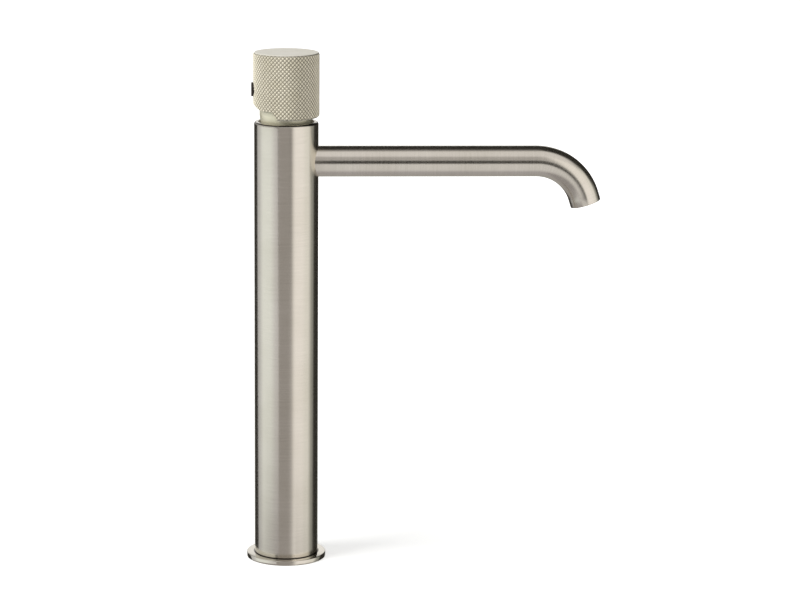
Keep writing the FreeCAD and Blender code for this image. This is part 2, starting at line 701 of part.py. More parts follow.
def index_seat(clearance):
    """Stepped plug at the knob's rear that hides the set screw."""
    face, shoulder = -KNOB_RADIUS - INDEX_PROUD, -KNOB_RADIUS + INDEX_DEPTH + clearance
    outer = rod(INDEX_RADIUS + clearance, on_axis(shoulder, INDEX_Z), on_axis(face, INDEX_Z))
    inner = rod(INDEX_RADIUS - INDEX_SHOULDER + clearance, on_axis(-KNOB_CAVITY + 0.5, INDEX_Z),
                on_axis(-KNOB_RADIUS, INDEX_Z))
    return outer.fuse(inner).removeSplitter()


def knob_shell():
    cavity = turned([
        (0, KNOB_BOTTOM - 1), (KNOB_CAVITY, KNOB_BOTTOM - 1), (KNOB_CAVITY, KNOB_SHOULDER),
        (KNOB_BORE, KNOB_SHOULDER), (KNOB_BORE, KNOB_CROWN), (0, KNOB_CROWN)])
    return knurled_blank().cut(cavity.fuse(notch())).cut(index_seat(0.05))


def index_plug():
    plug = index_seat(0)
    face_x = -KNOB_RADIUS - INDEX_PROUD
    rim = edges_near(plug, lambda box: box.XMax < face_x + 0.01 and box.YLength > 1)
    return plug.makeFillet(0.3, rim)


def knob_insert():
    """Hub pressed into the knob, with the square socket for the stem."""
    lower, step, flange_bottom = PIVOT_Z + HUB_RISE, PIVOT_Z + 17.6, KNOB_CROWN - 3
    upper_radius = 9.0
    body = turned([
        (0, lower), (HUB_RADIUS, lower), (HUB_RADIUS, step), (upper_radius, step),
        (upper_radius, flange_bottom), (KNOB_BORE, flange_bottom), (KNOB_BORE, KNOB_CROWN),
        (0, KNOB_CROWN)])
    half = STEM_SIDE / 2 + 0.05
    body = body.cut(block((-half, -half, lower - 1), (half, half, STEM_TOP + 0.4)))
    return body.cut(rod(2.0, on_axis(-HUB_RADIUS - 1, INDEX_Z), on_axis(-half + 0.1, INDEX_Z)))


def knob_set_screw():
    tip, face = on_axis(-STEM_SIDE / 2, INDEX_Z), on_axis(SLIP - HUB_RADIUS, INDEX_Z)
    return rod(1.95, tip, face).cut(hex_key(face, Vector(1, 0, 0), 1.15, 1.6))


def sub_parts():
    return {
        "base_flange": base_flange(), "base_gasket": base_gasket(), "foot_insert": foot_insert(),
        "inlet_socket_hot": inlet_socket(HOT_SIDE), "inlet_socket_cold": inlet_socket(-HOT_SIDE),
        "riser_hot": riser(HOT_SIDE), "riser_cold": riser(-HOT_SIDE), "riser_seals": riser_seals(),
        "column_body": column_body(), "valve_body": valve_body(),
        "spout_tube": spout_tube(), "spout_sleeve": spout_sleeve(), "spout_nipple": spout_nipple(),
        "spout_seals": spout_seals(), "spout_grub_screw": spout_grub_screw(),
        "aerator_housing": aerator_housing(), "aerator_insert": aerator_insert(),
        "aerator_screen": aerator_screen(), "aerator_seal": aerator_seal(),
        "cartridge_base": cartridge_base(), "cartridge_seals": cartridge_seals(),
        "fixed_disc": fixed_disc(), "moving_disc": moving_disc(), "disc_carrier": disc_carrier(),
        "cartridge_housing": cartridge_housing(), "cartridge_nut": cartridge_nut(),
        "temperature_stop": temperature_stop(), "turret": turret(), "turret_seal": turret_seal(),
        "pivot_pin": pivot_pin(), "lever": lever(), "dome_cover": dome_cover(),
        "knob_shell": knob_shell(), "knob_insert": knob_insert(), "knob_set_screw": knob_set_screw(),
        "index_plug": index_plug()}


def main():
    os.makedirs("parts", exist_ok=True)
    for name, shape in sub_parts().items():
        shape.exportStep("parts/" + name + ".step")


main()
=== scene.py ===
import json
import math

import bmesh
import bpy
from mathutils import Matrix, Vector


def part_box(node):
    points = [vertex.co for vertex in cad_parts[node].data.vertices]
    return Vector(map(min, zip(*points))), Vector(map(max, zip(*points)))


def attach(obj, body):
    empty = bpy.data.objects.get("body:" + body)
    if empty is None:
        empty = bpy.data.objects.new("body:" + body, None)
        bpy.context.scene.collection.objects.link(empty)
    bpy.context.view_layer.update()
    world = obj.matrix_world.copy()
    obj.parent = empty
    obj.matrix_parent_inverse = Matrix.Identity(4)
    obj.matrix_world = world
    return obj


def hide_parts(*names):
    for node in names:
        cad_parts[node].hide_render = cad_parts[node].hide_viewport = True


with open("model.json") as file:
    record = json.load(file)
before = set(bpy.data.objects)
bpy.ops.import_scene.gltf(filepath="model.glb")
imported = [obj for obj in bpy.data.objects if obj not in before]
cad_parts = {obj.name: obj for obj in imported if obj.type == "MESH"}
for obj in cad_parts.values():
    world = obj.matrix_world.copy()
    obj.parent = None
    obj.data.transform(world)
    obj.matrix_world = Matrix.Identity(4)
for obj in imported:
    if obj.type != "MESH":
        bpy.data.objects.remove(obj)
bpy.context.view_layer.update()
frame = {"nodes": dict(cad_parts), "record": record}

# Tall basin mixer: satin nickel column and spout, matt champagne knob with a diamond knurl.
# Metres. The column stands on the origin, and the spout reaches along +X.

MM = 0.001

# Column and base
COLUMN_BORE = 18.0 * MM
LIP_BORE = 17.2 * MM
LIP_HEIGHT = 10.0 * MM
LIP_ROUND = 0.3 * MM
RIM_ROUND = 1.7 * MM
FOOT_ROUND = 0.25 * MM
FLANGE_HOLE = 15.5 * MM
FLANGE_ROUND = 0.5 * MM
FLANGE_FOOT_ROUND = 0.2 * MM
GASKET_OUTER = 22.6 * MM
GASKET_INNER = 18.6 * MM
GASKET_HEIGHT = 1.6 * MM

# Spout. Its straight run starts inside the column's skin and is cut to the column's curve there.
SPOUT_WALL = 1.2 * MM
SPOUT_ROUND = 0.45 * MM
SPOUT_SIDES = 128
SPOUT_INSET = 5 * MM
SADDLE_INSET = 0.4 * MM
SADDLE_LENGTH = 60 * MM
BEND_START = 155.4 * MM
BEND_RADIUS = 31.5 * MM
BEND_ANGLE = math.radians(72.6)
BEND_STEPS = 48
SPOUT_TAIL = 5.0 * MM
GRUB_HOLE_X = 27.0 * MM
GRUB_HOLE_RADIUS = 2.0 * MM
GRUB_HOLE_SIDES = 32

# Dome under the knob
PIVOT_Z = 284.0 * MM
DOME_RADIUS = 16.6 * MM
DOME_WALL = 1.3 * MM
DOME_MOUTH = 12.5 * MM
DOME_FOOT = 276.3 * MM
DOME_SKIRT_TOP = 279.3 * MM
DOME_RINGS = 96

# Knob. A diamond's slope is how far its top is in from its edge.
KNOB_EDGE = 0.4 * MM
KNOB_CAVITY = 17.4 * MM
KNOB_SHOULDER = 303.5 * MM
KNOB_BORE = 15.0 * MM
KNOB_CROWN = 318.8 * MM
CAVITY_MARGIN = 0.1 * MM
DIAMONDS_AROUND = 52
DIAMOND_ROWS = 15
DIAMOND_DEPTH = 0.55 * MM
DIAMOND_SLOPE = 0.76 * MM

# Relief in the knob's lower rear edge: an inner wall that leans in towards its foot, a level roof, and
# from the step outwards a roof that rises.
NOTCH_HEIGHT = 5.25 * MM
NOTCH_WALL = -9.3 * MM
NOTCH_LEAN = 4.4 * MM
NOTCH_STEP = -16.6 * MM
NOTCH_REACH = 6.4 * MM
NOTCH_RISE = 4.55 * MM
NOTCH_ROUND = 1.5 * MM
NOTCH_WIDTH = 50 * MM
NOTCH_MARGIN = 1 * MM

# Index plug and its seat in the knob
INDEX_Z = 298.9 * MM
INDEX_RADIUS = 4.35 * MM
INDEX_STEM = 3.05 * MM
INDEX_HEAD = 2.3 * MM
INDEX_ROUND = 0.35 * MM
INDEX_RING = 0.7 * MM
INDEX_DISH_SLOPE = 0.3 * MM
INDEX_DISH_DEPTH = 0.2 * MM
INDEX_SIDES = 64
SEAT_CLEARANCE = 0.05 * MM
SEAT_CUTTER = 8 * MM
SEAT_CUTTER_OUT = 2.8 * MM

# Tests and shading
ROUND_STEPS = 192
SMOOTH_ANGLE = math.radians(32)
SHARP_ANGLE = math.radians(60)
SAME_PLACE = 0.02 * MM
MERGE_GAP = 0.001 * MM
FACING = 0.9
FLAT_ON = 0.99
SIDEWAYS = 0.1

# Sizes of the marks in the finishes, and of the shade in the joints
BRUSH_GAP = 0.7 * MM
BRUSH_STROKE = 14 * MM
NICKEL_CLOUD = 22 * MM
GRAIN_RADIUS = 20 * MM
NICKEL_TINTS = ("dfdacf", "e4dfd5")
LACQUER_GRIT = 0.5 * MM
LACQUER_CLOUD = 9 * MM
LACQUER_METALLIC = 0.35
# Painted shade in the knurl's grooves: its start past the groove, its olive, and the points' plain cream
GROOVE_MARGIN = 0.15 * MM
GROOVE_SHADE_OLIVE = "5a5548"
POINT_CREAM = "f6f3ea"
SHADE_WIDTH = 1.0 * MM
SHADE_BROWN = "443e38"
RIM_SHADE_IN = 0.6 * MM
RIM_SHADE_DOWN = 0.45 * MM

# Finishes of the inner pieces, by material slot: name, darker and lighter colour, metallic, lowest and
# highest roughness, then the size of the marks and their relief in mm. The real marks are mostly under
# 0.2 mm, too fine to show here, so they are drawn coarser.
INNER_FINISHES = {
    # Machined brass: warm yellow, its shine blurred by the tool's marks.
    "bare_brass": ("machined_brass", "b8934d", "cfab63", 1.0, 0.28, 0.4, 0.6, 0.02),
    # Drawn copper: orange-brown, in larger, softer clouds.
    "copper_pipe": ("drawn_copper", "a8653f", "c4805a", 1.0, 0.25, 0.4, 1.5, 0.02),
    # Turned stainless steel: cool, even grey.
    "stainless": ("turned_stainless", "8f8e8b", "a9a8a4", 1.0, 0.25, 0.38, 0.4, 0.01),
    # Moulded EPDM rubber: dull black.
    "rubber": ("moulded_epdm", "161616", "242423", 0.0, 0.6, 0.75, 0.5, 0.03),
    # Moulded acetal: milky off-white with a waxy sheen.
    "acetal": ("moulded_acetal", "c9c8c3", "d8d7d2", 0.0, 0.38, 0.5, 1.2, 0.02),
    # Lapped alumina: nearly white and smooth enough to shine.
    "alumina": ("lapped_alumina", "e2e0d9", "eeece6", 0.0, 0.12, 0.2, 0.8, 0.005),
    # Moulded ABS: dark grey-brown, half matt.
    "dark_plug": ("dark_moulded_abs", "1f1915", "2b231e", 0.0, 0.35, 0.5, 0.6, 0.02),
}
# Die-cast zinc, made nearly black with painted shade, as the knob's underside and cavity lie in the shade
# of the gap.
KNOB_SHADE_LINING = ("painted_shade_cast_zinc", "24211e", "2f2b27", 0.0, 0.5, 0.65, 0.6, 0.02)

# The dark room that the satin metal reflects, and the panels painted over it, each over those before
# it: light, bearings and heights in degrees, and the soft angle at each side and at each end. Bearings
# start at the front and are positive towards the spout.
ROOM_LIGHT = (0.032, 0.03, 0.026, 1.0)
EVERYWHERE = (-200, 200)
FRONT = (-34, 34)
PANELS = (
    # Floor all round, paler in front, and darker right under the mixer and straight above it.
    ((0.42, 0.40, 0.39), EVERYWHERE, (-100, -32), (4, 4), (1, 5)),
    ((0.74, 0.72, 0.71), FRONT, (-95, -12), (4, 4), (1, 4)),
    ((0.46, 0.44, 0.45), EVERYWHERE, (-100, -72), (4, 4), (1, 16)),
    ((0.34, 0.32, 0.31), EVERYWHERE, (80, 100), (4, 4), (7, 1)),
    # Shaded floor on the left, which the inside of the bend shows.
    ((0.35, 0.33, 0.33), (-120, -22), (-80, -24), (12, 10), (6, 4)),
    # Front wall above the horizon, and the soft ceiling panel over it.
    ((0.46, 0.44, 0.43), FRONT, (11, 44), (4, 4), (4, 6)),
    ((0.82, 0.79, 0.78), (-60, 88), (40, 84), (14, 14), (6, 8)),
    # White wall on the left, dimmer towards both ends, and the wall above it.
    ((0.62, 0.62, 0.63), (-127, -31), (-27, 5), (2, 1), (3, 4)),
    ((0.95, 0.98, 0.95), (-104, -31), (-27, 5), (13, 1), (3, 4)),
    ((0.70, 0.68, 0.69), (-49, -31), (-27, 5), (15, 1), (3, 4)),
    ((0.80, 0.80, 0.78), (-150, -42), (10, 78), (10, 6), (4, 8)),
    # Warmer wall on the right, brightest next to the front.
    ((0.33, 0.33, 0.30), (21, 114), (-30, 14), (7, 5), (5, 6)),
    ((0.92, 0.90, 0.85), (21, 94), (-30, 36), (7, 10), (5, 6)),
    ((1.04, 1.0, 0.97), (21, 66), (-30, 42), (7, 11), (5, 6)),
    # Grey wall behind, and the white backdrop over it, which the flange's face shows.
    ((0.42, 0.41, 0.39), (-220, -162), (-60, 6), (1, 8), (8, 4)),
    ((0.42, 0.41, 0.39), (162, 220), (-60, 6), (8, 1), (8, 4)),
    ((1.0, 0.99, 0.97), (-220, -150), (6, 22), (1, 8), (3, 3)),
    ((1.0, 0.99, 0.97), (162, 220), (6, 22), (5, 1), (3, 3)),
)

# Studio: soft light for matt surfaces, the floor's glow round the mixer and far from it, and the card.
SOFT_LIGHT = 0.38
FLOOR_SIZE = 30
GLOW_NEAR = 0.15
GLOW_FAR = 0.8
GLOW_LOW = 0.5
CARD_LEFT = -22 * MM
CARD_RIGHT = 26 * MM
CARD_FADE = 2 * MM
CARD_AWAY = -50 * MM
CARD_BOTTOM = -80 * MM
CARD_BELOW_TOP = 20 * MM
CARD_LIGHT = (0.375, 0.352, 0.338, 1)

# Lamps, with their power in watts
LAMP_AIM = (0.05, 0, 0.15)
LAMP_WIDTH = 1.4
KEY_PLACE = (-1.75, -0.7, 1.4)
KEY_POWER = 48
FILL_PLACE = (1.5, -0.8, 1.3)
FILL_POWER = 6

# Camera: its place in mm, its heading, pitch and roll in degrees, and its lens for the photograph's width
CAMERA_PLACE = (-32.37, -1820.44, 556.67)
CAMERA_ANGLES = (3.259, 12.1023, 0.4832)
FOCAL_PIXELS = 2972.7
WIDTH_PIXELS = 800
SENSOR_WIDTH = 36


# ---------------------------------------------------------------- modelling helpers

def opened(name):
    """Name the primitive just added, settle it in its place and open it for editing."""
    piece = bpy.context.object
    piece.name = name
    bpy.ops.object.transform_apply(location=True, rotation=True, scale=True)
    bpy.ops.object.mode_set(mode="EDIT")
    return piece


def choose(kind, test):
    """Select the faces or edges of the edited piece that pass a test."""
    bpy.ops.mesh.select_all(action="DESELECT")
    bpy.ops.mesh.select_mode(type={"faces": "FACE", "edges": "EDGE"}[kind])
    shape = bmesh.from_edit_mesh(bpy.context.object.data)
    shape.normal_update()
    for item in getattr(shape, kind):
        if test(item):
            item.select_set(True)
    bmesh.update_edit_mesh(bpy.context.object.data)


def near(value, goal):
    return abs(value - goal) < SAME_PLACE


def looks_up(face):
    return face.normal.z > FACING


def looks_down(face):
    return face.normal.z < -FACING


def looks_sideways(face):
    return abs(face.normal.z) < SIDEWAYS


def circle_edge(height, radius):
    """Test for the edges of one circle round the Z axis."""
    def matches(edge):
        return all(near(v.co.z, height) and near(math.hypot(v.co.x, v.co.y), radius) for v in edge.verts)
    return matches


def cross_edge(x, z):
    """Test for the edge along Y at this place."""
    return lambda edge: all(near(v.co.x, x) and near(v.co.z, z) for v in edge.verts)


def extrude(x, y, z):
    bpy.ops.mesh.extrude_region_move(TRANSFORM_OT_translate={"value": (x, y, z)})


def scale_round(factor):
    """Scale what is chosen about the Z axis."""
    bpy.ops.transform.resize(value=(factor, factor, 1), center_override=(0, 0, 0))


def widen(factor):
    """Extrude the chosen cap in its own plane and scale it about the Z axis."""
    extrude(0, 0, 0)
    scale_round(factor)


def closed(piece):
    """Leave edit mode and shade the piece smooth across its soft edges."""
    bpy.ops.object.mode_set(mode="OBJECT")
    bpy.ops.object.shade_smooth_by_angle(angle=SMOOTH_ANGLE)
    return piece


def apply_modifier(piece, kind, **settings):
    """Give the piece one modifier with its settings and apply it."""
    bpy.ops.object.select_all(action="DESELECT")
    piece.select_set(True)
    bpy.context.view_layer.objects.active = piece
    modifier = piece.modifiers.new(kind.title(), kind)
    for name, value in settings.items():
        setattr(modifier, name, value)
    bpy.ops.object.modifier_apply(modifier=modifier.name)


def cut(piece, cutter):
    """Take the cutter's shape out of the piece and delete the cutter."""
    apply_modifier(piece, "BOOLEAN", operation="DIFFERENCE", object=cutter, solver="EXACT")
    bpy.data.objects.remove(cutter)


def fit(piece, body, node, material):
    """Let the piece ride on its body in the place of its CAD node, and give it its finish."""
    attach(piece, body)
    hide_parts(node)
    piece.data.materials.clear()
    piece.data.materials.append(material)


# ---------------------------------------------------------------- base and column

def base_flange():
    """Thin cover ring with a groove for the gasket in its underside."""
    low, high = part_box("base_flange")
    radius = high.x
    bpy.ops.mesh.primitive_cylinder_add(
        vertices=ROUND_STEPS, radius=radius, depth=high.z, location=(0, 0, high.z / 2))
    piece = opened("base_flange_ring")
    choose("faces", looks_up)
    bpy.ops.mesh.inset(thickness=radius - FLANGE_HOLE)
    choose("faces", looks_down)
    bpy.ops.mesh.inset(thickness=radius - GASKET_OUTER)
    extrude(0, 0, GASKET_HEIGHT)
    bpy.ops.mesh.inset(thickness=GASKET_OUTER - GASKET_INNER)
    extrude(0, 0, -GASKET_HEIGHT)
    bpy.ops.mesh.inset(thickness=GASKET_INNER - FLANGE_HOLE)
    choose("faces", lambda face: abs(face.normal.z) > FACING and len(face.verts) == ROUND_STEPS)
    bpy.ops.mesh.bridge_edge_loops()
    choose("edges", circle_edge(high.z, radius))
    bpy.ops.mesh.bevel(offset=FLANGE_ROUND, segments=5)
    choose("edges", circle_edge(low.z, radius))
    bpy.ops.mesh.bevel(offset=FLANGE_FOOT_ROUND, segments=2)
    return closed(piece)


def column():
    """Turned tube with a rolled upper rim and a narrower lip inside it."""
    low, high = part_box("column_body")
    radius, height = high.x, high.z - low.z
    bpy.ops.mesh.primitive_cylinder_add(
        vertices=ROUND_STEPS, radius=radius, depth=height, location=(0, 0, (low.z + high.z) / 2))
    piece = opened("turned_column")
    choose("faces", looks_down)
    bpy.ops.mesh.inset(thickness=radius - COLUMN_BORE)
    choose("faces", looks_up)
    bpy.ops.mesh.inset(thickness=radius - LIP_BORE)
    extrude(0, 0, -LIP_HEIGHT)
    widen(COLUMN_BORE / LIP_BORE)
    choose("faces", lambda face: len(face.verts) == ROUND_STEPS)
    bpy.ops.mesh.bridge_edge_loops()
    choose("edges", circle_edge(high.z, radius))
    bpy.ops.mesh.bevel(offset=RIM_ROUND, segments=8)
    choose("edges", circle_edge(high.z, LIP_BORE))
    bpy.ops.mesh.bevel(offset=LIP_ROUND, segments=3)
    choose("edges", circle_edge(low.z, radius))
    bpy.ops.mesh.bevel(offset=FOOT_ROUND, segments=3)
    return closed(piece)


# ---------------------------------------------------------------- spout

def spout_level():
    """Height of the axis of the spout's straight run."""
    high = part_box("spout_tube")[1]
    return high.z - high.y


def spout():
    """Drawn tube: a straight run, one bend swept about its centre, and a short straight tail."""
    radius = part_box("spout_tube")[1].y
    level = spout_level()
    column_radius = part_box("column_body")[1].x
    start = column_radius - SPOUT_INSET
    bpy.ops.mesh.primitive_circle_add(
        vertices=SPOUT_SIDES, radius=radius, location=(start, 0, level), rotation=(0, math.pi / 2, 0))
    piece = opened("bent_spout")
    bpy.ops.mesh.select_all(action="SELECT")
    extrude(BEND_START - start, 0, 0)
    bpy.ops.mesh.spin(
        steps=BEND_STEPS, angle=-BEND_ANGLE, center=(BEND_START, 0, level - BEND_RADIUS), axis=(0, 1, 0))
    extrude(SPOUT_TAIL * math.cos(BEND_ANGLE), 0, -SPOUT_TAIL * math.sin(BEND_ANGLE))
    bpy.ops.mesh.select_all(action="SELECT")
    bpy.ops.mesh.remove_doubles(threshold=MERGE_GAP)
    bpy.ops.mesh.normals_make_consistent(inside=False)
    bpy.ops.object.mode_set(mode="OBJECT")
    apply_modifier(piece, "SOLIDIFY", thickness=SPOUT_WALL, offset=-1)
    apply_modifier(piece, "BEVEL", width=SPOUT_ROUND, segments=4, limit_method="ANGLE",
                   angle_limit=SHARP_ANGLE)
    bpy.ops.mesh.primitive_cylinder_add(
        vertices=ROUND_STEPS, radius=column_radius - SADDLE_INSET, depth=SADDLE_LENGTH,
        location=(0, 0, level))
    cut(piece, bpy.context.object)
    bpy.ops.mesh.primitive_cylinder_add(
        vertices=GRUB_HOLE_SIDES, radius=GRUB_HOLE_RADIUS, depth=radius,
        location=(GRUB_HOLE_X, 0, level - radius))
    cut(piece, bpy.context.object)
    bpy.ops.object.shade_smooth_by_angle(angle=SMOOTH_ANGLE)
    return piece


# ---------------------------------------------------------------- dome and knob

def dome():
    """Smooth dome about the lever's pivot, seen in the gap under the knob."""
    mouth_z = PIVOT_Z + math.sqrt(DOME_RADIUS ** 2 - DOME_MOUTH ** 2)
    bpy.ops.mesh.primitive_uv_sphere_add(
        segments=ROUND_STEPS, ring_count=DOME_RINGS, radius=DOME_RADIUS, location=(0, 0, PIVOT_Z))
    piece = opened("neck_dome")
    for height, side in ((DOME_SKIRT_TOP, "clear_inner"), (mouth_z, "clear_outer")):
        bpy.ops.mesh.select_all(action="SELECT")
        bpy.ops.mesh.bisect(plane_co=(0, 0, height), plane_no=(0, 0, 1), **{side: True})
    choose("edges", lambda edge: all(near(v.co.z, DOME_SKIRT_TOP) for v in edge.verts))
    extrude(0, 0, DOME_FOOT - DOME_SKIRT_TOP)
    bpy.ops.object.mode_set(mode="OBJECT")
    apply_modifier(piece, "SOLIDIFY", thickness=DOME_WALL, offset=-1)
    bpy.ops.object.shade_smooth_by_angle(angle=SMOOTH_ANGLE)
    return piece


def notch_cutter():
    """Relief under the knob's rear edge, where it clears the rim as it tilts back."""
    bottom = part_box("knob_shell")[0].z - NOTCH_MARGIN
    top = bottom + NOTCH_MARGIN + NOTCH_HEIGHT
    bpy.ops.mesh.primitive_cube_add(
        size=1, location=((NOTCH_STEP + NOTCH_WALL) / 2, 0, (bottom + top) / 2),
        scale=(NOTCH_WALL - NOTCH_STEP, NOTCH_WIDTH, top - bottom))
    cutter = opened("notch_cutter")
    choose("edges", cross_edge(NOTCH_WALL, bottom))
    bpy.ops.transform.translate(value=(NOTCH_LEAN, 0, 0))
    choose("faces", lambda face: face.normal.x < -FACING)
    extrude(-NOTCH_REACH, 0, 0)
    choose("edges", cross_edge(NOTCH_STEP - NOTCH_REACH, top))
    bpy.ops.transform.translate(value=(0, 0, NOTCH_RISE))
    choose("edges", cross_edge(NOTCH_WALL, top))
    bpy.ops.mesh.bevel(offset=NOTCH_ROUND, segments=8)
    bpy.ops.object.mode_set(mode="OBJECT")
    return cutter


def grid_edge(edge):
    """True for the level and upright edges of the plain grid, which the diamonds' own edges cross."""
    first, second = (v.co for v in edge.verts)
    upright = near(first.x, second.x) and near(first.y, second.y)
    return upright or near(first.z, second.z)


def knurl(skin_bottom, skin_top):
    """Turn the plain side of the edited drum into rows of raised diamonds, halves at both ends."""
    def is_long(edge):
        return abs(edge.verts[0].co.z - edge.verts[1].co.z) > (skin_top - skin_bottom) / 2

    def is_inner(edge):
        middle = (edge.verts[0].co.z + edge.verts[1].co.z) / 2
        return not near(middle, skin_bottom) and not near(middle, skin_top)

    choose("edges", is_long)
    bpy.ops.mesh.subdivide(number_cuts=DIAMOND_ROWS - 1)
    radius = max(v.co.x for v in bmesh.from_edit_mesh(bpy.context.object.data).verts)
    sagitta = radius * (1 - math.cos(math.pi / DIAMONDS_AROUND))
    choose("faces", looks_sideways)
    bpy.ops.mesh.poke(offset=sagitta)
    choose("edges", lambda edge: grid_edge(edge) and is_inner(edge))
    bpy.ops.mesh.dissolve_edges(use_verts=False)
    # Whole diamonds have four corners. The halves at both ends have three, and rise half as much.
    for corners, share in ((4, 1.0), (3, 0.5)):
        choose("faces", lambda face: looks_sideways(face) and len(face.verts) == corners)
        bpy.ops.mesh.inset(
            thickness=DIAMOND_SLOPE * share, depth=DIAMOND_DEPTH * share, use_individual=True)


def knurled_knob():
    """Knurled drum with thin plain edges, its cavity, the relief at its rear and the plug's seat."""
    low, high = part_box("knob_shell")
    radius = high.y
    skin_bottom, skin_top = low.z + KNOB_EDGE, high.z - KNOB_EDGE
    valley = radius - DIAMOND_DEPTH
    bpy.ops.mesh.primitive_cylinder_add(
        vertices=DIAMONDS_AROUND, radius=valley, depth=skin_top - skin_bottom,
        location=(0, 0, (skin_top + skin_bottom) / 2))
    piece = opened("knurled_knob")
    knurl(skin_bottom, skin_top)
    rolled = 1 - KNOB_EDGE / valley
    for looks_out, way in ((looks_up, 1), (looks_down, -1)):
        choose("faces", looks_out)
        extrude(0, 0, way * KNOB_EDGE)
        scale_round(rolled)
    widen(KNOB_CAVITY / (valley * rolled))
    extrude(0, 0, KNOB_SHOULDER - low.z)
    widen(KNOB_BORE / KNOB_CAVITY)
    extrude(0, 0, KNOB_CROWN - KNOB_SHOULDER)
    bpy.ops.object.mode_set(mode="OBJECT")
    cut(piece, notch_cutter())
    bpy.ops.mesh.primitive_cylinder_add(
        vertices=INDEX_SIDES, radius=INDEX_RADIUS + SEAT_CLEARANCE, depth=SEAT_CUTTER,
        location=(-radius - SEAT_CUTTER_OUT, 0, INDEX_Z), rotation=(0, math.pi / 2, 0))
    cut(piece, bpy.context.object)
    bpy.ops.object.shade_flat()
    return piece


def shade_knob_inside(knob, material):
    """Give the knob's underside and cavity a second, nearly black material: painted shade."""
    knob.data.materials.append(material)
    for face in knob.data.polygons:
        inside = math.hypot(face.center.x, face.center.y) < KNOB_CAVITY + CAVITY_MARGIN
        if looks_down(face) or (inside and face.normal.z < FACING):
            face.material_index = 1


def index_plug():
    """Small round plug in the knob's back, over the set screw, with a shallow dish in its face."""
    low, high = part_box("index_plug")
    shoulder = low.x + INDEX_HEAD
    bpy.ops.mesh.primitive_cylinder_add(
        vertices=INDEX_SIDES, radius=INDEX_RADIUS, depth=shoulder - low.x,
        location=((low.x + shoulder) / 2, 0, INDEX_Z), rotation=(0, math.pi / 2, 0))
    piece = opened("index_plug_cap")
    choose("faces", lambda face: face.normal.x > FACING)
    bpy.ops.mesh.inset(thickness=INDEX_RADIUS - INDEX_STEM)
    extrude(high.x - shoulder, 0, 0)
    choose("faces", lambda face: face.normal.x < -FACING)
    bpy.ops.mesh.bevel(offset=INDEX_ROUND, segments=4)
    choose("faces", lambda face: face.normal.x < -FLAT_ON)
    bpy.ops.mesh.inset(thickness=INDEX_RING)
    bpy.ops.mesh.inset(thickness=INDEX_DISH_SLOPE, depth=-INDEX_DISH_DEPTH)
    return closed(piece)


# ---------------------------------------------------------------- surface coordinates

def turned_place(point):
    """Across the strokes first, then the position round the axis, for pieces turned about Z."""
    return (point.z - math.hypot(point.x, point.y), point.x, point.y)


def spout_place(level):
    """The same for the spout whose straight run lies at this level, measured along its bent axis."""
    def place(point):
        from_centre = Vector((point.x - BEND_START, 0, point.z - (level - BEND_RADIUS)))
        angle = min(max(math.atan2(from_centre.x, from_centre.z), 0), BEND_ANGLE)
        outward = Vector((math.sin(angle), 0, math.cos(angle)))
        ahead = Vector((math.cos(angle), 0, -math.sin(angle)))
        offset = from_centre.dot(outward) - BEND_RADIUS
        along = BEND_START + BEND_RADIUS * angle + from_centre.dot(ahead)
        return (along - math.hypot(point.y, offset), point.y, offset)
    return place


def mark_grain(piece, place):
    """Store the surface coordinates that the brush strokes follow, and a UV map along them."""
    mesh = piece.data
    grain = mesh.attributes.new("grain", "FLOAT_VECTOR", "POINT")
    for vertex in mesh.vertices:
        grain.data[vertex.index].vector = place(vertex.co)
    while mesh.uv_layers:
        mesh.uv_layers.remove(mesh.uv_layers[0])
    brush = mesh.uv_layers.new(name="brush")
    for loop in mesh.loops:
        across, first, second = place(mesh.vertices[loop.vertex_index].co)
        brush.data[loop.index].uv = (across, GRAIN_RADIUS * math.atan2(second, first))


# ---------------------------------------------------------------- materials

def colour(code):
    """Linear colour of an sRGB hex value."""
    channels = [int(code[place:place + 2], 16) / 255 for place in (0, 2, 4)]
    return [c / 12.92 if c <= 0.04045 else ((c + 0.055) / 1.055) ** 2.4 for c in channels] + [1.0]


def node(tree, kind, inputs=None, stops=(), **settings):
    """Add a node with its settings, its inputs as values or links, and a ramp's stops."""
    made = tree.nodes.new("ShaderNode" + kind)
    for name, value in settings.items():
        setattr(made, name, value)
    for name, value in (inputs or {}).items():
        if isinstance(value, bpy.types.NodeSocket):
            tree.links.new(value, made.inputs[name])
        else:
            made.inputs[name].default_value = value
    for index, (place, value) in enumerate(stops):
        elements = made.color_ramp.elements
        element = elements[index] if index < 2 else elements.new(place)
        element.position = place
        element.color = value
    return made


def blank(name):
    """A new material, its node tree and its principled shader."""
    material = bpy.data.materials.new(name)
    material.use_nodes = True
    tree = material.node_tree
    return material, tree, tree.nodes["Principled BSDF"]


def skin(tree, shader, tint, rough, bump, metallic):
    """Join a finish's colour, roughness and relief to its shader."""
    tree.links.new(tint, shader.inputs["Base Color"])
    tree.links.new(rough.outputs["Result"], shader.inputs["Roughness"])
    tree.links.new(bump.outputs["Normal"], shader.inputs["Normal"])
    shader.inputs["Metallic"].default_value = metallic


def around_axis(tree, place):
    """Distance from the column's axis and height, of a place in the shared frame."""
    axes = node(tree, "SeparateXYZ", {"Vector": place}).outputs
    flat = node(tree, "CombineXYZ", {"X": axes["X"], "Y": axes["Y"]}).outputs[0]
    return node(tree, "VectorMath", {0: flat}, operation="LENGTH").outputs["Value"], axes["Z"]


def shade_line(tree, radius, height):
    """Shade along a circle round the axis: full within a sixth of its width, none past its width."""
    away, level = around_axis(tree, node(tree, "TexCoord").outputs["Object"])
    ring = node(tree, "CombineXYZ", {"X": away, "Y": level}).outputs[0]
    gap = node(tree, "VectorMath", {0: ring, 1: (radius, height, 0)}, operation="DISTANCE").outputs["Value"]
    return node(tree, "MapRange", {"Value": gap, "From Min": SHADE_WIDTH, "From Max": SHADE_WIDTH / 6},
                interpolation_type="SMOOTHSTEP").outputs["Result"]


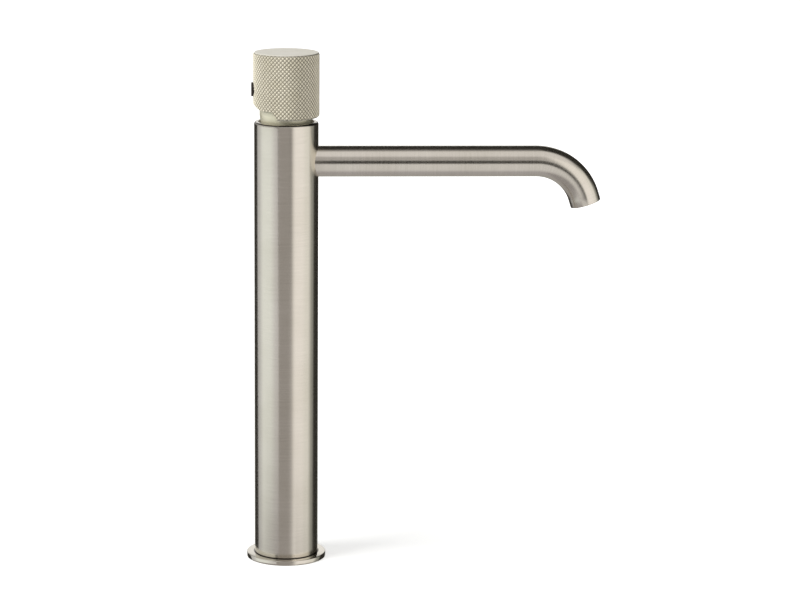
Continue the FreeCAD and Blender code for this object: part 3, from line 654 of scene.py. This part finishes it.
def joint_shade(tree):
    """Shade where the column meets the flange, and on its rim close under the knob."""
    column_top, flange_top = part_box("column_body")[1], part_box("base_flange")[1]
    foot = shade_line(tree, column_top.x, flange_top.z)
    rim = shade_line(tree, column_top.x - RIM_SHADE_IN, column_top.z - RIM_SHADE_DOWN)
    return node(tree, "Math", {0: foot, 1: rim}, operation="MAXIMUM").outputs[0]


def brushed_nickel(name, roughness, stretch):
    """Nickel plate brushed round the tube: warm grey, with soft bands and fine strokes across them.

    Real strokes are about 0.1 mm apart, too fine to show here, so they are drawn coarser.
    """
    material, tree, shader = blank(name)
    grain = node(tree, "Attribute", attribute_name="grain").outputs["Vector"]
    strokes_at = node(tree, "Mapping", {
        "Vector": grain, "Scale": (1 / BRUSH_GAP, 1 / BRUSH_STROKE, 1 / BRUSH_STROKE)})
    strokes = node(tree, "TexNoise", {
        "Vector": strokes_at.outputs["Vector"], "Scale": 1.0, "Detail": 3.0, "Roughness": 0.65})
    clouds = node(tree, "TexNoise", {"Vector": grain, "Scale": 1 / NICKEL_CLOUD, "Detail": 1.0})
    tint = node(tree, "ValToRGB", {"Fac": clouds.outputs["Fac"]},
                stops=[(0.35, colour(NICKEL_TINTS[0])), (0.65, colour(NICKEL_TINTS[1]))])
    shade = node(tree, "ValToRGB", {"Fac": strokes.outputs["Fac"]},
                 stops=[(0.25, colour("f4f4f4")), (0.75, colour("ffffff"))])
    mixed = node(tree, "Mix", {0: 1.0, 6: tint.outputs["Color"], 7: shade.outputs["Color"]},
                 data_type="RGBA", blend_type="MULTIPLY")
    shaded = node(tree, "Mix", {0: joint_shade(tree), 6: mixed.outputs[2], 7: colour(SHADE_BROWN)},
                  data_type="RGBA")
    rough = node(tree, "MapRange", {
        "Value": strokes.outputs["Fac"], "To Min": roughness[0], "To Max": roughness[1]})
    bump = node(tree, "Bump", {"Height": strokes.outputs["Fac"], "Strength": 0.1, "Distance": 0.03 * MM})
    skin(tree, shader, shaded.outputs[2], rough, bump, metallic=1.0)
    tangent = node(tree, "Tangent", direction_type="UV_MAP", uv_map="brush")
    tree.links.new(tangent.outputs["Tangent"], shader.inputs["Tangent"])
    shader.inputs["Anisotropic"].default_value = stretch
    return material


def champagne_lacquer(name, tints, groove, peak, roughness):
    """Fine-blasted champagne lacquer over metal: pale cream body with a soft metallic sheen.

    Between the groove's and the peak's distance from the axis it goes from a dull olive to pale
    cream: painted shade that darkens the knurl's grooves, while its points keep the plain cream.
    The real grit is about 0.1 mm, too fine to show here, so it is drawn coarser.
    """
    material, tree, shader = blank(name)
    place = node(tree, "TexCoord").outputs["Object"]
    blast = node(tree, "TexNoise", {"Vector": place, "Scale": 1 / LACQUER_GRIT, "Detail": 2.0})
    clouds = node(tree, "TexNoise", {"Vector": place, "Scale": 1 / LACQUER_CLOUD, "Detail": 1.0})
    tint = node(tree, "ValToRGB", {"Fac": clouds.outputs["Fac"]},
                stops=[(0.35, colour(tints[0])), (0.65, colour(tints[1]))])
    depth = node(tree, "MapRange", {
        "Value": around_axis(tree, place)[0], "From Min": groove, "From Max": peak}).outputs["Result"]
    # Painted shade: the knurl's grooves are darkened to olive, growing lighter out to its points.
    groove_shade = node(tree, "ValToRGB", {"Fac": depth}, stops=[
        (0.0, colour("ffffff")), (0.1, colour(GROOVE_SHADE_OLIVE)), (0.27, colour(GROOVE_SHADE_OLIVE)),
        (0.42, colour(POINT_CREAM))])
    mixed = node(tree, "Mix", {0: 1.0, 6: tint.outputs["Color"], 7: groove_shade.outputs["Color"]},
                 data_type="RGBA", blend_type="MULTIPLY")
    rough = node(tree, "MapRange", {
        "Value": blast.outputs["Fac"], "To Min": roughness[0], "To Max": roughness[1]})
    bump = node(tree, "Bump", {"Height": blast.outputs["Fac"], "Strength": 0.08, "Distance": 0.02 * MM})
    skin(tree, shader, mixed.outputs[2], rough, bump, LACQUER_METALLIC)
    return material


def plain_finish(name, dark, light, metallic, rough_low, rough_high, mark, relief):
    """Procedural finish for inner pieces: mottled colour, uneven gloss and a fine relief."""
    material, tree, shader = blank(name)
    place = node(tree, "TexCoord").outputs["Object"]
    marks = node(tree, "TexNoise", {"Vector": place, "Scale": 1 / (mark * MM), "Detail": 4.0})
    tint = node(tree, "ValToRGB", {"Fac": marks.outputs["Fac"]},
                stops=[(0.3, colour(dark)), (0.7, colour(light))])
    rough = node(tree, "MapRange", {
        "Value": marks.outputs["Fac"], "To Min": rough_low, "To Max": rough_high})
    bump = node(tree, "Bump", {"Height": marks.outputs["Fac"], "Strength": 0.15, "Distance": relief * MM})
    skin(tree, shader, tint.outputs["Color"], rough, bump, metallic)
    return material


# ---------------------------------------------------------------- studio

def window(tree, value, limits, soft):
    """1 between two angles in degrees, falling to 0 within the soft angle past each of them."""
    rise = node(tree, "MapRange", {
        "Value": value, "From Min": limits[0] - soft[0], "From Max": limits[0] + soft[0]},
        interpolation_type="SMOOTHSTEP").outputs["Result"]
    fall = node(tree, "MapRange", {
        "Value": value, "From Min": limits[1] + soft[1], "From Max": limits[1] - soft[1]},
        interpolation_type="SMOOTHSTEP").outputs["Result"]
    return node(tree, "Math", {0: rise, 1: fall}, operation="MULTIPLY").outputs[0]


def room_angles(tree):
    """Bearing round the mixer from the front, positive towards the spout, and height, in degrees."""
    axes = node(tree, "SeparateXYZ", {"Vector": node(tree, "TexCoord").outputs["Generated"]}).outputs
    front = node(tree, "Math", {0: axes["Y"], 1: -1.0}, operation="MULTIPLY").outputs[0]
    turn = node(tree, "Math", {0: axes["X"], 1: front}, operation="ARCTAN2").outputs[0]
    rise = node(tree, "Math", {0: axes["Z"]}, operation="ARCSINE").outputs[0]
    return [node(tree, "Math", {0: angle}, operation="DEGREES").outputs[0] for angle in (turn, rise)]


def studio_room(tree):
    """The dark room and its pale panels, as the satin metal reflects them."""
    turn, rise = room_angles(tree)
    room = ROOM_LIGHT
    for light, bearings, heights, soft_sides, soft_ends in PANELS:
        weight = node(tree, "Math", {
            0: window(tree, turn, bearings, soft_sides), 1: window(tree, rise, heights, soft_ends)},
            operation="MULTIPLY").outputs[0]
        room = node(tree, "Mix", {0: weight, 6: room, 7: (*light, 1.0)}, data_type="RGBA").outputs[2]
    return room


def studio_world():
    """White behind the mixer for the camera, soft light for matt surfaces, panels for the metal."""
    world = bpy.data.worlds.new("white_studio")
    bpy.context.scene.world = world
    world.use_nodes = True
    world.cycles.sampling_method = "NONE"
    tree = world.node_tree
    tree.nodes.clear()
    rays = node(tree, "LightPath").outputs
    seen = node(tree, "Math", {0: rays["Is Camera Ray"], 1: rays["Is Transmission Ray"]},
                operation="MAXIMUM").outputs[0]
    soft = node(tree, "Background", {"Color": (1, 1, 1, 1), "Strength": SOFT_LIGHT}).outputs[0]
    reflected = node(tree, "Background", {"Color": studio_room(tree), "Strength": 1.0}).outputs[0]
    white = node(tree, "Background", {"Color": (1, 1, 1, 1), "Strength": 1.0}).outputs[0]
    lit = node(tree, "MixShader", {0: rays["Is Glossy Ray"], 1: soft, 2: reflected}).outputs[0]
    shown = node(tree, "MixShader", {0: seen, 1: lit, 2: white}).outputs[0]
    node(tree, "OutputWorld", {"Surface": shown})


def floor():
    """Pale floor that shows white to the camera and keeps the object's soft shadow."""
    bpy.ops.mesh.primitive_plane_add(size=FLOOR_SIZE)
    ground = bpy.context.object
    ground.name = "floor"
    ground.visible_glossy = False
    material, tree, shader = blank("pale_floor")
    shader.inputs["Base Color"].default_value = colour("e9e9e7")
    shader.inputs["Roughness"].default_value = 0.9
    shader.inputs["Emission Color"].default_value = colour("ffffff")
    camera_ray = node(tree, "LightPath").outputs["Is Camera Ray"]
    away = node(tree, "VectorMath", {0: node(tree, "TexCoord").outputs["Object"]}, operation="LENGTH")
    glow = node(tree, "MapRange", {
        "Value": away.outputs["Value"], "From Min": GLOW_NEAR, "From Max": GLOW_FAR,
        "To Min": GLOW_LOW, "To Max": 1.0})
    shown = node(tree, "Math", {0: camera_ray, 1: glow.outputs["Result"]}, operation="MULTIPLY").outputs[0]
    tree.links.new(shown, shader.inputs["Emission Strength"])
    ground.data.materials.append(material)


def grey_card():
    """Grey card close in front of the column, which only the metal sees, for its dark middle band."""
    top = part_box("knob_shell")[1].z - CARD_BELOW_TOP
    bpy.ops.mesh.primitive_plane_add(size=1)
    card = bpy.context.object
    card.name = "grey_card"
    for vertex in card.data.vertices:
        side = CARD_RIGHT if vertex.co.x > 0 else CARD_LEFT
        vertex.co = (side, CARD_AWAY, top if vertex.co.y > 0 else CARD_BOTTOM)
    for ray in ("camera", "diffuse", "transmission", "shadow", "volume_scatter"):
        setattr(card, "visible_" + ray, False)
    material, tree, shader = blank("grey_card_face")
    tree.nodes.remove(shader)
    face = node(tree, "Emission", {"Color": CARD_LIGHT}).outputs[0]
    axes = node(tree, "SeparateXYZ", {"Vector": node(tree, "TexCoord").outputs["Object"]}).outputs
    clear = node(tree, "MapRange", {"Value": axes["X"], "From Min": CARD_FADE, "From Max": CARD_RIGHT},
                 interpolation_type="SMOOTHSTEP").outputs["Result"]
    faded = node(tree, "MixShader", {0: clear, 1: face, 2: node(tree, "BsdfTransparent").outputs[0]})
    tree.links.new(faded.outputs[0], tree.nodes["Material Output"].inputs["Surface"])
    card.data.materials.append(material)


def softbox(name, place, power):
    """Large soft lamp for the floor and the matt pieces; metal shows the room instead of it."""
    bpy.ops.object.light_add(type="AREA", location=place)
    lamp = bpy.context.object
    lamp.name = name
    lamp.data.size = LAMP_WIDTH
    lamp.data.energy = power
    lamp.visible_glossy = False
    lamp.rotation_euler = (Vector(LAMP_AIM) - Vector(place)).to_track_quat("-Z", "Y").to_euler()


def camera():
    """The photograph's view: a long lens a little above the mixer, looking down on it."""
    heading, pitch, roll = (math.radians(angle) for angle in CAMERA_ANGLES)
    level = math.cos(pitch)
    right = Vector((math.cos(heading), -math.sin(heading), 0))
    ahead = Vector((math.sin(heading) * level, math.cos(heading) * level, -math.sin(pitch)))
    up = right.cross(ahead)
    across = math.cos(roll) * right + math.sin(roll) * up
    upright = math.cos(roll) * up - math.sin(roll) * right
    bpy.ops.object.camera_add()
    eye = bpy.context.object
    eye.data.sensor_width = SENSOR_WIDTH
    eye.data.lens = SENSOR_WIDTH * FOCAL_PIXELS / WIDTH_PIXELS
    turn = Matrix((across, upright, -ahead)).transposed()
    eye.matrix_world = Matrix.Translation(Vector(CAMERA_PLACE) * MM) @ turn.to_4x4()
    bpy.context.scene.camera = eye


# ---------------------------------------------------------------- the mixer

def dress():
    """Model the pieces that show, and give the others their finishes."""
    satin = brushed_nickel("satin_brushed_nickel", roughness=(0.17, 0.25), stretch=0.5)
    glossy = brushed_nickel("fine_brushed_nickel", roughness=(0.09, 0.13), stretch=0.2)
    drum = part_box("knob_shell")[1].y
    groove = drum - DIAMOND_DEPTH - GROOVE_MARGIN
    knob_skin = champagne_lacquer(
        "blasted_champagne_lacquer", ("f0ecde", "f5f1e5"), groove, drum, roughness=(0.36, 0.44))
    dome_skin = champagne_lacquer(
        "satin_champagne_lacquer", ("cdc9b2", "d4d0ba"), groove, drum, roughness=(0.2, 0.26))
    inner = {slot: plain_finish(*finish) for slot, finish in INNER_FINISHES.items()}
    bpy.ops.object.select_all(action="DESELECT")
    for make, target, nickel in ((base_flange, "base_flange", glossy), (column, "column_body", satin)):
        piece = make()
        mark_grain(piece, turned_place)
        fit(piece, "body", target, nickel)
    tube = spout()
    mark_grain(tube, spout_place(spout_level()))
    fit(tube, "body", "spout_tube", satin)
    fit(dome(), "body", "dome_cover", dome_skin)
    knob = knurled_knob()
    fit(knob, "handle", "knob_shell", knob_skin)
    # Painted shade: the knob's underside and cavity are made nearly black.
    shade_knob_inside(knob, plain_finish(*KNOB_SHADE_LINING))
    fit(index_plug(), "handle", "index_plug", inner["dark_plug"])
    for part in frame["record"]["subparts"]:
        solid = frame["nodes"][part["node"]]
        if part["material_slot"] in inner:
            for place in solid.material_slots:
                place.material = inner[part["material_slot"]]


bpy.context.scene.view_settings.view_transform = "Standard"
camera()
dress()
studio_world()
floor()
grey_card()
softbox("key", KEY_PLACE, KEY_POWER)
softbox("fill", FILL_PLACE, FILL_POWER)
